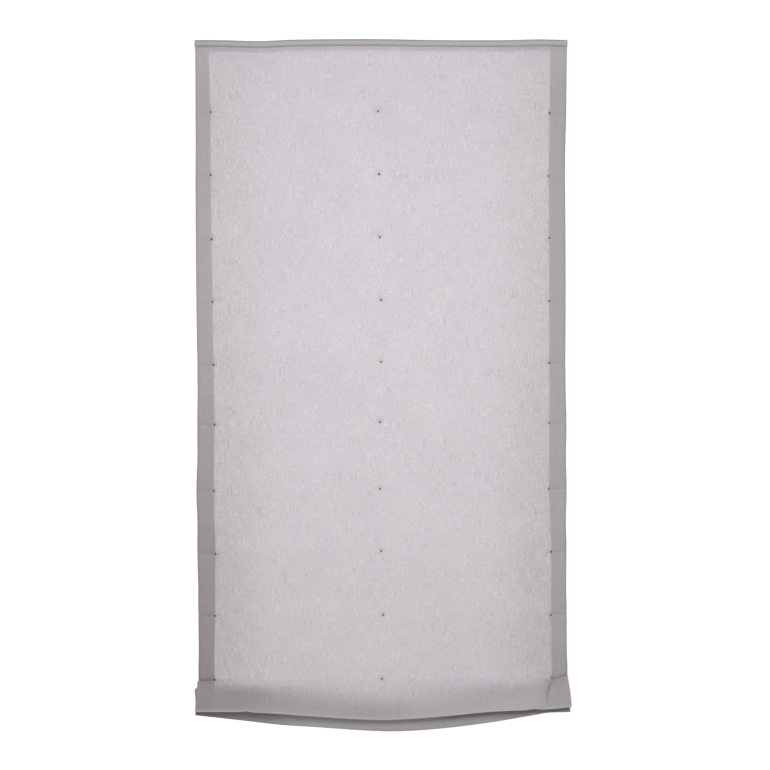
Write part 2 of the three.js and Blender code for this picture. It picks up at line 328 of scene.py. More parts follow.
def fold_section(column, start):
    """The bottom fold, from the last row: down to the pressed edge, back up to the turn, down."""
    x, hem_x = column.x(CREASE_LINES), column.x(HEM_LINES)
    lift = sum(tug["lift"] * hump(x - tug["x"], tug["width"]) for tug in TUGS)
    crease = across(FOLD, "crease", x) - lift
    hem = across(FOLD, "hem", hem_x)
    turn_x = column.x(TURN_LINES)
    turn = max(hem - HEM_DEPTH, column.drop(LAST) + TURN_CLEARANCE)
    between = smooth(0, 70, column.inset())
    fall_slope = lerp(FALL_SLOPE_IN_HEM, FALL_SLOPE_BETWEEN, between)
    crease_mid = (CREASE_RADIUS - across(FOLD, "reach", x), crease - CREASE_RADIUS)
    turn_mid = (CLOTH_Y + TURN_RADIUS / 2, turn + TURN_RADIUS)

    def on_crease(angle):
        return Vector((crease_mid[0] - CREASE_RADIUS * math.cos(angle),
                       crease_mid[1] + CREASE_RADIUS * math.sin(angle)))

    def on_turn(angle):
        return Vector((turn_mid[0] - TURN_RADIUS * math.cos(angle),
                       turn_mid[1] - TURN_RADIUS * math.sin(angle)))

    def swept(a, slope_a, b, slope_b, steps):
        pull = (a - b).length / 2.6
        way_a = Vector((-math.sin(slope_a), math.cos(slope_a))) * pull
        way_b = Vector((-math.sin(slope_b), math.cos(slope_b))) * pull
        return interpolate_bezier(a, a + way_a, b - way_b, b, steps + 1)[1:-1]

    crease_from, crease_to = -EDGE_SLOPE, math.pi - RETURN_SLOPES[0]
    path = []
    fall = swept(Vector(start[1:]), fall_slope, on_crease(crease_from), EDGE_SLOPE, FALL_STEPS)
    for i, point in enumerate(fall, start=1):
        share = (i / FALL_STEPS) ** 0.6
        path.append((lerp(start[0] + column.x(STEP_OUT), x, share), *point))
    for i in range(CREASE_STEPS + 1):
        path.append((x, *on_crease(lerp(crease_from, crease_to, i / CREASE_STEPS))))
    back_up = swept(on_crease(crease_to), math.pi + RETURN_SLOPES[0], on_turn(RETURN_SLOPES[1]),
                    math.pi + RETURN_SLOPES[1], RETURN_STEPS)
    for i, point in enumerate(back_up, start=1):
        path.append((lerp(x, turn_x, i / RETURN_STEPS), *point))
    for i in range(TURN_STEPS + 1):
        path.append((turn_x, *on_turn(lerp(RETURN_SLOPES[1], math.pi, i / TURN_STEPS))))
    last = path[-1]
    for i in range(1, HEM_STEPS + 1):
        share = i / HEM_STEPS
        path.append((lerp(turn_x, hem_x, share), last[1], lerp(last[2], hem, share)))
    section, walked, before = [], 0.0, Vector(start)
    for point in path:
        walked += (Vector(point) - before).length
        before = Vector(point)
        section.append((point, LAST, walked))
    return section


def slanting_crease(distance):
    """The X of the crease that runs down the fold from the last right tack, at a distance down."""
    return ROWS[LAST]["lines"][3] - 19 * smooth(-8, 56, distance)


class Surface:
    """The cloth's right side as a grid of points, before the hems are turned."""

    def __init__(self, hem_steps, inner_steps, row_steps):
        self.columns = main_columns(hem_steps, inner_steps)
        self.sections = []
        for column in self.columns:
            hanging = hanging_section(column, row_steps)
            self.sections.append(hanging + fold_section(column, hanging[-1][0]))
        self.down = len(self.sections[0])
        self.fall_row = len(hanging)
        self.hem_row = self.down - HEM_STEPS - TURN_STEPS // 2
        self.points = [[to_space(point) for point, _, _ in section] for section in self.sections]
        plain = self.normals()
        for c, column in enumerate(self.columns):
            for r in range(self.down):
                self.points[c][r] -= plain[c][r] * (self.sink(c, r) * MM)
        self.normal = self.normals()

    def normals(self):
        """The direction that the right side faces at each point."""
        grid = self.points
        wide, down = len(grid), len(grid[0])
        facing = []
        for c in range(wide):
            left, right = grid[max(0, c - 1)], grid[min(wide - 1, c + 1)]
            line = []
            for r in range(down):
                along = grid[c][min(down - 1, r + 1)] - grid[c][max(0, r - 1)]
                line.append(along.cross(right[r] - left[r]).normalized())
            facing.append(line)
        return facing

    def sink(self, c, r):
        """How far a point lies behind the smooth surface, in millimetres."""
        column = self.columns[c]
        (x, _, drop), row, distance = self.sections[c][r]
        near_hem = column.near_hem()
        # Slow waves over the whole cloth, and smaller ones about 50 mm long.
        depth = 0.7 * noise.noise(Vector((x / 210, drop / 260, 3.1)))
        depth += 0.25 * noise.noise(Vector((x / 42, drop / 55, 7.7)))
        if row == 0:
            return depth * smooth(BINDING_FRONT, BINDING_FRONT + 30, drop)
        if r >= self.hem_row:
            return depth
        age = 0.5 + 0.5 * row / LAST  # the lower creases are the sharper ones
        if r < self.fall_row + FALL_STEPS:
            depth += age * (0.03 + 1.1 * near_hem) * hump(distance, 1.6)
            depth -= age * (0.04 + 0.8 * near_hem) * hump(distance - 4.5, 2.6)
            depth += self.tack_pull(x, row, distance)
            if row == LAST:
                depth += 2.2 * near_hem * hump(distance - 1, 2.0)
        if r < self.fall_row:
            for trace in TRACES:
                inside = smooth(trace["from"] - 30, trace["from"] + 20, x)
                inside *= 1 - smooth(trace["to"] - 20, trace["to"] + 30, x)
                depth += trace["depth"] * inside * hump(drop - trace["drop"], 2.5)
        elif r < self.fall_row + FALL_STEPS:
            depth += self.fall_creases(x, distance)
        return depth

    @staticmethod
    def tack_pull(x, row, distance):
        """Each tack draws in a dimple with a soft rim round it."""
        depth = 0.0
        for tack_x in ROWS[row]["lines"][1:4]:
            away = math.hypot(x - tack_x, distance)
            if away > TACK_REACH:
                continue
            depth += 0.3 * hump(away, 4) - 0.55 * hump(away - 10, 6)
            angle = math.atan2(distance, x - tack_x)
            rays = math.cos(5 * angle + row) * smooth(3, 9, away) * hump(away, 24)
            corner = row == LAST and tack_x > 300
            depth += (CORNER_PULL if corner else TACK_PULL) * rays
        return depth

    @staticmethod
    def fall_creases(x, distance):
        """Slanting creases run from the last right tack and the left corner to the front edge."""
        slant = slanting_crease(distance)
        depth = 3.0 * hump(x - slant, 3.2) - 2.0 * hump(x - slant + 12, 8)
        left_x = ROWS[LAST]["lines"][1]
        depth += 0.7 * hump(x - (left_x + 0.9 * distance), 10) * smooth(4, 26, distance)
        return depth * smooth(0, 10, distance)


def to_space(point):
    x, y, drop = point
    return Vector((x, y, -drop)) * MM


def new_object(name, bm, materials):
    """Makes a mesh object of a bmesh, at the origin, with smooth faces."""
    mesh = bpy.data.meshes.new(name)
    for face in bm.faces:
        face.smooth = True
    bm.to_mesh(mesh)
    bm.free()
    piece = bpy.data.objects.new(name, mesh)
    bpy.context.scene.collection.objects.link(piece)
    for material in materials:
        mesh.materials.append(material)
    return piece


def add_node(tree, kind, inputs, **settings):
    """Adds a shader node. An input is a value, a socket, or a node that gives its first output."""
    node = tree.nodes.new("ShaderNode" + kind)
    for name, value in settings.items():
        setattr(node, name, value)
    sockets = [socket for socket in node.inputs if socket.enabled]
    for key, value in inputs.items():
        socket = sockets[key] if isinstance(key, int) else next(s for s in sockets if s.name == key)
        if isinstance(value, bpy.types.Node):
            value = next(output for output in value.outputs if output.enabled)
        if isinstance(value, bpy.types.NodeSocket):
            tree.links.new(value, socket)
        else:
            socket.default_value = value
    return node


def new_material(name):
    """An empty node material and its tree."""
    material = bpy.data.materials.new(name)
    material.use_nodes = True
    material.node_tree.nodes.clear()
    return material, material.node_tree


def yarn_noise(tree, cut, length, width, seed):
    """Noise drawn out into short threads, length along the cut's X and width along its Y."""
    drawn = add_node(tree, "VectorMath", {0: cut, 1: (1 / length, 1 / width, 1)},
                     operation="MULTIPLY")
    moved = add_node(tree, "VectorMath", {0: drawn, 1: (seed, seed / 3, 0)}, operation="ADD")
    return add_node(tree, "TexNoise", {"Vector": moved, "Scale": 1.0, "Detail": 1.5},
                    noise_dimensions="2D")


def linen_material(name, looks, through):
    """Linen, plain woven from uneven yarn: matt, with slubs, and lit through from behind."""
    material, tree = new_material(name)
    cut = add_node(tree, "UVMap", {}, uv_map="cut")
    hemmed, painted_shade, painted_highlight = (
        add_node(tree, "Attribute", {}, attribute_type="GEOMETRY",
                 attribute_name=key).outputs["Fac"] for key in LAYERS_AND_PAINTED_LIGHT)
    # A yarn is thick and thin by turns, over 8 to 40 mm. Its real width is under 1 mm, and it is
    # drawn 2 mm wide so that it shows. Some patches are more uneven than others, and so is the
    # linen where shade is painted.
    weft = yarn_noise(tree, cut, 0.008, 0.0019, 11.0)
    warp = yarn_noise(tree, cut, 0.0017, 0.012, 47.0)
    long_warp = yarn_noise(tree, cut, 0.0022, 0.040, 29.0)
    long_weft = yarn_noise(tree, cut, 0.034, 0.0022, 61.0)
    both = add_node(tree, "Math", {0: weft, 1: warp}, operation="ADD")
    long_yarn = add_node(tree, "Math", {0: long_weft, 1: 0.6, 2: long_warp},
                         operation="MULTIPLY_ADD")
    yarn = add_node(tree, "Math", {0: long_yarn, 1: 0.8, 2: both}, operation="MULTIPLY_ADD")
    patch = yarn_noise(tree, cut, 0.03, 0.04, 83.0)
    patchy = add_node(tree, "MapRange", {"Value": patch, "From Min": 0.3, "From Max": 0.7,
                                         "To Min": 0.35, "To Max": 1.65})
    # Each noise averages 0.5, so the four of them, as weighted above, average 1.64.
    yarn_mean = 0.5 * (2 + 0.8 * 1.6)
    off_mean = add_node(tree, "Math", {0: yarn, 1: yarn_mean}, operation="SUBTRACT")
    uneven = add_node(tree, "Math", {0: off_mean, 1: patchy}, operation="MULTIPLY")
    # A slub is a thicker lump, here and there, and up to 40 mm long.
    slub = yarn_noise(tree, cut, 0.028, 0.0024, 71.0)
    lumps = add_node(tree, "MapRange", {"Value": slub, "From Min": 0.62, "From Max": 0.76})
    cloud = yarn_noise(tree, cut, 0.11, 0.16, 5.0)
    cloudy = add_node(tree, "Math", {0: cloud, 1: 0.2, 2: uneven}, operation="MULTIPLY_ADD")
    lumpy = add_node(tree, "Math", {0: lumps, 1: 0.25, 2: cloudy}, operation="MULTIPLY_ADD")
    even = add_node(tree, "MapRange", {"Value": hemmed, "To Min": 1.0, "To Max": 0.4})
    coarse = add_node(tree, "MapRange", {"Value": painted_shade, "From Max": 0.5,
                                         "To Min": 0.85, "To Max": 1.7})
    uneven_where_shaded = add_node(tree, "Math", {0: lumpy, 1: coarse}, operation="MULTIPLY")
    evened = add_node(tree, "Math", {0: uneven_where_shaded, 1: even}, operation="MULTIPLY")
    thick = add_node(tree, "MapRange", {"Value": evened, "From Min": -0.35, "From Max": 0.6})
    # The weave's real pitch is 0.8 mm, and it is drawn at 1.6 mm.
    waves = 2 * math.pi / (1.6 * MM)
    scaled = add_node(tree, "VectorMath", {0: cut, "Scale": waves}, operation="SCALE")
    parts = add_node(tree, "SeparateXYZ", {0: scaled})
    over = add_node(tree, "Math", {0: parts.outputs[0]}, operation="SINE")
    under = add_node(tree, "Math", {0: parts.outputs[1]}, operation="SINE")
    weave = add_node(tree, "Math", {0: over, 1: under}, operation="MULTIPLY")
    plain = add_node(tree, "Mix", {"Factor": thick, "A": (*looks.linen_light, 1),
                                   "B": (*looks.linen_dark, 1)}, data_type="RGBA")
    # Painted shade: the linen mixed towards a darker colour in creases, under and on the bottom
    # fold, beside the hems and low down.
    with_painted_shade = add_node(tree, "Mix", {"Factor": painted_shade, "A": plain, "B": (*looks.linen_painted_shade, 1)},
                    data_type="RGBA")
    # Painted highlight: a paler colour along the bottom fold's pressed edge, the top of each side
    # hem and the heading's front leg.
    colour = add_node(tree, "Mix", {"Factor": painted_highlight, "A": with_painted_shade, "B": (*looks.linen_painted_highlight, 1)},
                      data_type="RGBA")
    lit = add_node(tree, "Mix", {"Factor": thick, "A": (*looks.through_light, 1),
                                 "B": (*looks.through_dark, 1)}, data_type="RGBA")
    # Less light comes through a hem, where the yarns of one layer lie over the other's gaps, and
    # least through the pressed edge.
    hem_sheer = add_node(tree, "MapRange", {"Value": hemmed, "To Min": through,
                                            "To Max": 0.57 * through})
    sheer = add_node(tree, "Mix", {"Factor": painted_highlight, "A": hem_sheer, "B": 0.12}, data_type="FLOAT")
    height = add_node(tree, "Math", {0: weave, 1: 0.3, 2: uneven}, operation="MULTIPLY_ADD")
    bump = add_node(tree, "Bump", {"Strength": 0.4, "Distance": 0.0004, "Height": height})
    cloth = add_node(tree, "BsdfPrincipled", {
        "Base Color": colour, "Roughness": 0.9, "Specular IOR Level": 0.25, "Sheen Weight": 0.05,
        "Sheen Roughness": 0.5, "Normal": bump})
    glow = add_node(tree, "BsdfTranslucent", {"Color": lit, "Normal": bump})
    mixed = add_node(tree, "MixShader", {0: sheer, 1: cloth, 2: glow})
    add_node(tree, "OutputMaterial", {"Surface": mixed})
    return material


def thread_material(name, colour):
    """Spun polyester sewing thread: twisted, matt, a little darker in its grooves, where shade is
    painted.
    """
    material, tree = new_material(name)
    place = add_node(tree, "TexCoord", {}).outputs["Object"]
    # The thread's twist shows as marks about 0.7 mm long, with painted shade in its grooves.
    twist = add_node(tree, "TexNoise", {"Vector": place, "Scale": 1400.0, "Detail": 1.0})
    shade = add_node(tree, "Mix", {"Factor": twist, "A": (*colour, 1),
                                   "B": (*(c * 0.6 for c in colour), 1)}, data_type="RGBA")
    bump = add_node(tree, "Bump", {"Strength": 0.5, "Distance": 0.0002, "Height": twist})
    thread = add_node(tree, "BsdfPrincipled", {"Base Color": shade, "Roughness": 0.75,
                                               "Normal": bump})
    add_node(tree, "OutputMaterial", {"Surface": thread})
    return material


def ring_material(colour):
    """Moulded nylon: milky, with a faint mottling and a soft gloss."""
    material, tree = new_material("Moulded milky nylon")
    place = add_node(tree, "TexCoord", {}).outputs["Object"]
    # The melt cools in faint clouds about 3 mm across.
    mottle = add_node(tree, "TexNoise", {"Vector": place, "Scale": 300.0, "Detail": 2.0})
    shade = add_node(tree, "Mix", {"Factor": mottle, "A": (*colour, 1),
                                   "B": (*(c * 0.9 for c in colour), 1)}, data_type="RGBA")
    gloss = add_node(tree, "MapRange", {"Value": mottle, "To Min": 0.3, "To Max": 0.42})
    nylon = add_node(tree, "BsdfPrincipled", {"Base Color": shade, "Roughness": gloss, "IOR": 1.53})
    glow = add_node(tree, "BsdfTranslucent", {"Color": (*colour, 1)})
    mixed = add_node(tree, "MixShader", {0: 0.6, 1: nylon, 2: glow})
    add_node(tree, "OutputMaterial", {"Surface": mixed})
    return material


def floor_material(colour):
    """Matt painted board, with the faint stipple of a roller."""
    material, tree = new_material("Matt painted floor")
    place = add_node(tree, "TexCoord", {}).outputs["Object"]
    # A roller leaves dots about 10 mm apart.
    stipple = add_node(tree, "TexNoise", {"Vector": place, "Scale": 90.0, "Detail": 3.0})
    bump = add_node(tree, "Bump", {"Strength": 0.1, "Distance": 0.001, "Height": stipple})
    paint = add_node(tree, "BsdfPrincipled", {"Base Color": (*colour, 1), "Roughness": 0.8,
                                              "Normal": bump})
    add_node(tree, "OutputMaterial", {"Surface": paint})
    return material


class ShadeCloth(bpy.types.PropertyGroup):
    """Sizes and colours of the linen."""

    thickness: FloatProperty(name="Thickness", description="Thickness of one layer of linen",
                             default=0.5 * MM, min=0.2 * MM, max=1.5 * MM, unit="LENGTH")
    ply_pitch: FloatProperty(name="Layer spacing", unit="LENGTH",
                             description="From one layer of a hem to the next",
                             default=1.1 * MM, min=0.6 * MM, max=2 * MM)
    hem_steps: IntProperty(name="Hem columns", description="Columns of the mesh across a side hem",
                           default=8, min=4, max=16)
    inner_steps: IntProperty(name="Inner columns",
                             description="Columns of the mesh from a side hem to the middle",
                             default=36, min=12, max=60)
    row_steps: IntProperty(name="Rows", default=24, min=10, max=40,
                           description="Rows of the mesh from one row of tacks to the next")
    through: FloatProperty(name="Sheerness", default=0.58, min=0.0, max=1.0, subtype="FACTOR",
                           description="Share of the light that goes into the cloth")
    linen_light: FloatVectorProperty(name="Linen", subtype="COLOR", default=linear("#EAE6E9"),
                                     description="Colour of the linen where it is thin")
    linen_dark: FloatVectorProperty(name="Thick yarn", subtype="COLOR", default=linear("#D3CED2"),
                                    description="Colour of the linen where it is thick")
    # Painted shade: the darker colour laid where shade falls on the linen.
    linen_painted_shade: FloatVectorProperty(name="Greyed linen", subtype="COLOR",
                                      description="Colour where handling has greyed the linen",
                                      default=linear("#BAB0B4"))
    # Painted highlight: the paler colour along the fold's front edge, the side hems' tops and the
    # heading's front leg.
    linen_painted_highlight: FloatVectorProperty(name="Pressed linen", subtype="COLOR",
                                       description="Colour along the bottom fold's pressed edge",
                                       default=linear("#F4F1F2"))
    through_light: FloatVectorProperty(name="Light through linen", subtype="COLOR",
                                       description="Colour of the light that thin linen lets in",
                                       default=linear("#FDFBFD"))
    through_dark: FloatVectorProperty(name="Light through thick yarn", subtype="COLOR",
                                      description="Colour of the light that thick yarn lets in",
                                      default=linear("#EAE7EA"))


class ShadeTrim(bpy.types.PropertyGroup):
    """Sizes and colours of the rings and the sewing."""

    ring_radius: FloatProperty(name="Ring radius", description="From a ring's middle to its wire's",
                               default=5.6 * MM, unit="LENGTH")
    ring_wire: FloatProperty(name="Ring wire", description="Radius of a ring's wire",
                             default=0.9 * MM, unit="LENGTH")
    ring_colour: FloatVectorProperty(name="Ring", description="Colour of the rings",
                                     subtype="COLOR", default=linear("#EDEBE6"))
    # The tack thread is real, and its dark colour is partly painted shade, standing for the shadow
    # of each tack in the lit linen.
    tack_colour: FloatVectorProperty(name="Tack thread", description="Colour of the tacks",
                                     subtype="COLOR", default=linear("#3B373A"))
    hem_thread: FloatVectorProperty(name="Hem thread", description="Colour of the hem stitches",
                                    subtype="COLOR", default=linear("#B9B3B8"))


class ShadeStage(bpy.types.PropertyGroup):
    """Floor, light and camera."""

    floor_drop: FloatProperty(name="Floor", description="From the heading's top edge to the floor",
                              default=2.62, unit="LENGTH")
    floor_colour: FloatVectorProperty(name="Floor colour", description="Colour of the floor",
                                      subtype="COLOR", default=linear("#B8B5B2"))
    behind: FloatProperty(name="Light behind", default=1.05, min=0,
                          description="Brightness of the room behind the shade")
    before: FloatProperty(name="Light in front", description="Brightness of the room in front",
                          default=0.18, min=0)
    key_power: FloatProperty(name="Key light", description="Power of the soft light in front",
                             default=24.5, min=0, unit="POWER")
    back_power: FloatProperty(name="Back light", description="Power of the strip of light behind",
                              default=1.75, min=0, unit="POWER")
    distance: FloatProperty(name="Camera distance", description="From the camera to the heading",
                            default=2.3, unit="LENGTH")


def stitch(bm, middle, along, facing, length, width):
    """Adds one stitch: a short bead of thread, half sunk in the cloth."""
    side = facing.cross(along).normalized()
    turn = Matrix((along.normalized(), side, facing)).transposed().to_4x4()
    size = Matrix.Diagonal((length / 2, width / 2, width / 2, 1))
    bmesh.ops.create_uvsphere(bm, u_segments=6, v_segments=4, radius=1,
                              matrix=Matrix.Translation(middle) @ turn @ size)


def wire_ring(bm, middle, axis, radius, wire, steps, sides):
    """Adds a ring of round wire round an axis, by spinning the wire's section."""
    out = axis.orthogonal().normalized()
    turn = Matrix((out, axis, out.cross(axis))).transposed().to_4x4()
    place = Matrix.Translation(middle + out * radius) @ turn
    section = bmesh.ops.create_circle(bm, segments=sides, radius=wire, matrix=place)["verts"]
    edges = {edge for vert in section for edge in vert.link_edges}
    bmesh.ops.spin(bm, geom=section + list(edges), cent=middle, axis=axis, angle=2 * math.pi,
                   steps=steps, use_merge=True)


def tidy_faces(bm):
    """Merges doubles and turns every face outwards."""
    bmesh.ops.remove_doubles(bm, verts=bm.verts, dist=1e-6)
    bmesh.ops.recalc_face_normals(bm, faces=bm.faces)


def lengths(points):
    """How far each point of a line is along it."""
    walked = [0.0]
    for a, b in zip(points, points[1:]):
        walked.append(walked[-1] + max((a - b).length, LEAST_STEP * MM))
    return walked


def lay_out(bm, places):
    """Gives a sheet the UV map of its cut, from each vertex's place in it."""
    layer = bm.loops.layers.uv.new("cut")
    for face in bm.faces:
        for loop in face.loops:
            loop[layer].uv = places[loop.vert]


def face_room(bm, index):
    """Turns a sheet's faces over if those round one vertex face away from the room."""
    bm.normal_update()
    bm.verts.ensure_lookup_table()
    if bm.verts[index].link_faces[0].normal.y > 0:
        bmesh.ops.reverse_faces(bm, faces=bm.faces)


def thicken(piece, thickness):
    """Gives a sheet its thickness, behind its right side."""
    solid = piece.modifiers.new("Thickness", "SOLIDIFY")
    solid.thickness = thickness
    solid.offset = -1


class SHADE_OT_cloth(bpy.types.Operator):
    """Makes the linen: one sheet with its side hems and bottom hem turned to the back"""

    bl_idname = "shade.cloth"
    bl_label = "Linen"

    def execute(self, context):
        looks = context.scene.shade_cloth
        surface = Surface(looks.hem_steps, looks.inner_steps, looks.row_steps)
        hem, last = looks.hem_steps, len(surface.columns) - 1
        # Each column and row of the cut cloth: where it lies, and how far it is turned back.
        turned_left = [(c, 1.0) for c in range(hem, 0, -1)]
        turned_right = [(last - c, 1.0) for c in range(1, hem + 1)]
        wide = (turned_left + [(0, 0.9), (0, 0.5), (0, 0.1)] + [(c, 0.0) for c in range(1, last)]
                + [(last, 0.1), (last, 0.5), (last, 0.9)] + turned_right)
        turned_up = range(surface.down - 2, surface.hem_row, -1)
        tall = ([(r, 0.0) for r in range(surface.down - 1)]
                + [(surface.down - 1, t) for t in (0.1, 0.5, 0.9)] + [(r, 1.0) for r in turned_up])
        pitch = looks.ply_pitch

        def layer_offset(c, side, up):
            stack = pitch * (3 - 2 * smooth(0, 8, surface.columns[c].inset()))
            return lerp(side * pitch, stack - side * pitch, up)

        def bulge(turned):
            return math.sin(math.pi * turned) * pitch / 2 if 0 < turned < 1 else 0.0

        bm = bmesh.new()
        bmesh.ops.create_grid(bm, x_segments=len(wide) - 1, y_segments=len(tall) - 1, size=0.5)
        bm.verts.ensure_lookup_table()
        hemmed, painted_shade, painted_highlight = (bm.verts.layers.float.new(name) for name in LAYERS_AND_PAINTED_LIGHT)
        crease = surface.fall_row + FALL_STEPS + 1
        cut_x = lengths([surface.points[c][0] for c, _ in wide])
        cut_y = lengths([surface.points[last // 2][r] for r, _ in tall])
        middle = wide.index((last // 2, 0.0))
        places = {}
        for vert in bm.verts:
            i, j = divmod(vert.index, len(wide))
            (c, side), (r, up) = wide[j], tall[i]
            point, facing = surface.points[c][r], surface.normal[c][r]
            outward = Vector((math.copysign(bulge(side), point.x), 0, -bulge(up)))
            vert.co = point - facing * layer_offset(c, side, up) + outward
            spot, column = surface.sections[c][r], surface.columns[c]
            x, _, drop = spot[0]
            in_fold = r >= surface.fall_row
            turn = across(FOLD, "hem", x) - HEM_DEPTH
            lined = smooth(turn - 30, turn + 6, drop) if in_fold else 0
            layered = column.inset() == 0 or r > crease
            vert[hemmed] = lerp(0.8, 1.0, smooth(0, 300, drop)) if layered else lined
            # Painted shade, on the bottom fold and on the hanging cloth.
            if in_fold:
                vert[painted_shade] = self.painted_shade_fold(spot, column.inset(), r > crease)
            else:
                vert[painted_shade] = self.painted_shade_hanging(spot, column)
            # The top of each side hem is painted paler, a painted highlight, and so is the bottom
            # fold's pressed edge.
            painted_hem_top_light = 0.3 * (1 - smooth(20, 140, drop)) if column.inset() == 0 else 0.0
            vert[painted_highlight] = hump(r - crease, 2) + painted_hem_top_light
            places[vert] = (cut_x[j] - cut_x[middle], -cut_y[i])
        lay_out(bm, places)
        face_room(bm, len(wide) // 2)
        linen = linen_material("Semi-sheer slub linen", looks, looks.through)
        piece = new_object("linen_panel", bm, [linen])
        thicken(piece, looks.thickness)
        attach(piece, "root")
        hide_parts("shade_cloth")
        return {"FINISHED"}

    @staticmethod
    def painted_shade_hanging(spot, column):
        """How much shade is painted on the hanging cloth: low down, and in and beside the hems."""
        (x, _, drop), row, distance = spot
        low = smooth(500, 1560, drop)
        if column.inset() > 0:
            streak = 0.3 * low * noise.noise(Vector((x / 8, drop / 30, 9.1)))
            return (1 - smooth(0, 160, column.inset())) * (0.27 + 0.22 * low + streak)
        # On the hems, painted shade in the last row's crease and along the outer edge, more of it
        # low on the left hem and high on the right.
        crease = 0.55 * hump(distance, 1.8) if row == LAST else 0.0
        edge = 0.35 * hump(1 - column.outer(), 0.1)
        return (0.42 * low if x < 0 else 0.12 - 0.12 * low) + crease + edge

    @staticmethod
    def painted_shade_fold(spot, inset, behind):
        """How much shade is painted on the bottom fold: most towards its front edge, and as a
        painted shadow behind its corners.
        """
        (x, _, drop), _, distance = spot
        above = across(FOLD, "crease", x) - drop
        # Painted shadow on the return and hem behind the fold: all over towards the left corner,
        # and just under the front edge towards the right.
        if behind:
            return 0.7 * smooth(180, 310, -x) + 0.9 * smooth(100, 200, x) * smooth(-33, -21, above)
        # Between the hems the painted shade fades out upwards from the front edge.
        full = 15 + 21 * smooth(100, 350, abs(x))
        with_painted_shade = 1 - smooth(full, 62, above) if inset > 0 else 1.0
        # Painted shade in the crease that slants down from the last right tack.
        crease = 0.95 * hump(x - slanting_crease(distance), 2.6) * smooth(3, 8, distance)
        crease *= 1 - 0.7 * smooth(35, 70, distance)
        return max(0.0, across(FOLD, "grey", x)) * with_painted_shade + crease


class SHADE_OT_heading(bpy.types.Operator):
    """Makes the binding that is folded over the cloth's top edge"""

    bl_idname = "shade.heading"
    bl_label = "Heading"

    def execute(self, context):
        looks = context.scene.shade_cloth
        left, right = BINDING_ENDS
        profile, steps = self.profile(), HEADING_STEPS
        bm = bmesh.new()
        bmesh.ops.create_grid(bm, x_segments=steps, y_segments=len(profile) - 1, size=0.5)
        bm.verts.ensure_lookup_table()
        hemmed, painted_shade, painted_highlight = (bm.verts.layers.float.new(name) for name in LAYERS_AND_PAINTED_LIGHT)
        walked = lengths([Vector((0, y, drop)) * MM for y, drop in profile])
        places = {}
        for vert in bm.verts:
            i, j = divmod(vert.index, steps + 1)
            x = lerp(left, right, j / steps)
            y, drop = profile[i]
            puff = 0.3 * noise.noise(Vector((x / 30, i / 5, 1.3))) * (y < -BINDING_DEPTH / 2)
            vert.co = to_space((x, y + puff, drop + across(DIPS, "drop", x)))
            # Painted shade along the roll and the seam, and a painted highlight on the front leg
            # between them.
            vert[hemmed] = float(i < DOUBLED_STEPS)
            vert[painted_shade] = hump(i - ROLL_LINE, 2) + 0.6 * hump(i - SEAM_LINE, 1.8)
            vert[painted_highlight] = 0.4 * smooth(1, 4, i) * (1 - smooth(8, 10, i))
            places[vert] = (x * MM, -walked[i])
        lay_out(bm, places)
        face_room(bm, 0)
        tape = linen_material("Linen tape", looks, TAPE_SHEERNESS)
        piece = new_object("heading_tape", bm, [tape])
        thicken(piece, TAPE_THICKNESS * MM)
        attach(piece, "root")
        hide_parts("heading_binding")
        return {"FINISHED"}

    @staticmethod
    def profile():
        """The outer face from the front leg's sewn edge, over the top and down the back leg."""
        front, roll = -BINDING_DEPTH, BINDING_DEPTH / 2
        points = []
        for i in range(FRONT_STEPS):
            share = i / FRONT_STEPS
            puff = 1.1 * math.sin(math.pi * share) ** 0.8
            pinch = 1.2 * (1 - smooth(0, 0.25, share))
            points.append((front + pinch - puff, lerp(BINDING_FRONT, roll, share)))
        for i in range(ROLL_STEPS + 1):
            angle = math.pi * i / ROLL_STEPS
            points.append((-roll - roll * math.cos(angle), roll - roll * math.sin(angle)))
        for i in range(1, BACK_STEPS + 1):
            points.append((0.0, lerp(roll, BINDING_BACK, i / BACK_STEPS)))
        return points


class SHADE_OT_rings(bpy.types.Operator):
    """Makes the moulded rings on the back, one at each tack"""

    bl_idname = "shade.rings"
    bl_label = "Rings"

    def execute(self, context):
        trim = context.scene.shade_trim
        bm = bmesh.new()
        names = [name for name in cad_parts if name.startswith("ring_")]
        for name in names:
            low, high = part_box(name)
            wire_ring(bm, (low + high) / 2, Vector((0, 1, 0)), trim.ring_radius, trim.ring_wire,
                      steps=28, sides=10)
        tidy_faces(bm)
        piece = new_object("lift_rings", bm, [ring_material(trim.ring_colour)])
        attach(piece, "root")
        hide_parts(*names)
        return {"FINISHED"}


